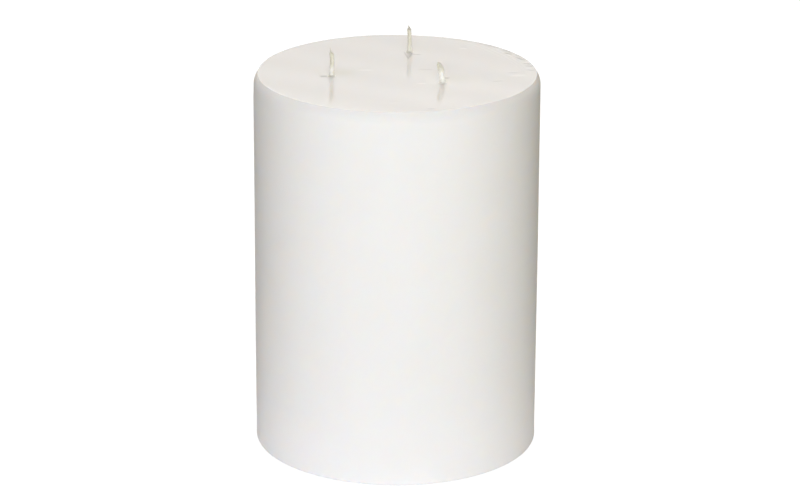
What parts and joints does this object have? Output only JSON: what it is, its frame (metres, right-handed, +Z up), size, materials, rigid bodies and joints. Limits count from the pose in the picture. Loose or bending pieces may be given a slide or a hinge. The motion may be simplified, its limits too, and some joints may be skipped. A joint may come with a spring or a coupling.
{
  "type": "multi-wick pillar candle",
  "caption": "Straight round pillar candle of poured wax with a bevelled shoulder, a topped-up base, and braided cotton wicks crimped in stamped tabs.",
  "frame": {"origin": "middle of the base, on the surface that the candle stands on", "axes": "+Z up along the pillar, +X to the right and +Y to the back as the candle is pictured"},
  "size_m": [0.15, 0.15, 0.2172],
  "materials": {
    "wax": "smooth satin white candle wax, slightly translucent",
    "cotton": "braided cotton primed with wax, cream",
    "tinplate": "stamped tinplate, dull bright"
  },
  "bodies": {
    "root": {"wax_body": "wax", "base_pour": "wax", "wick_left": "cotton", "wick_rear": "cotton", "wick_front": "cotton", "wick_tab_left": "tinplate", "wick_tab_rear": "tinplate", "wick_tab_front": "tinplate", "wick_seal_left": "wax", "wick_seal_rear": "wax", "wick_seal_front": "wax"}
  },
  "joints": []
}
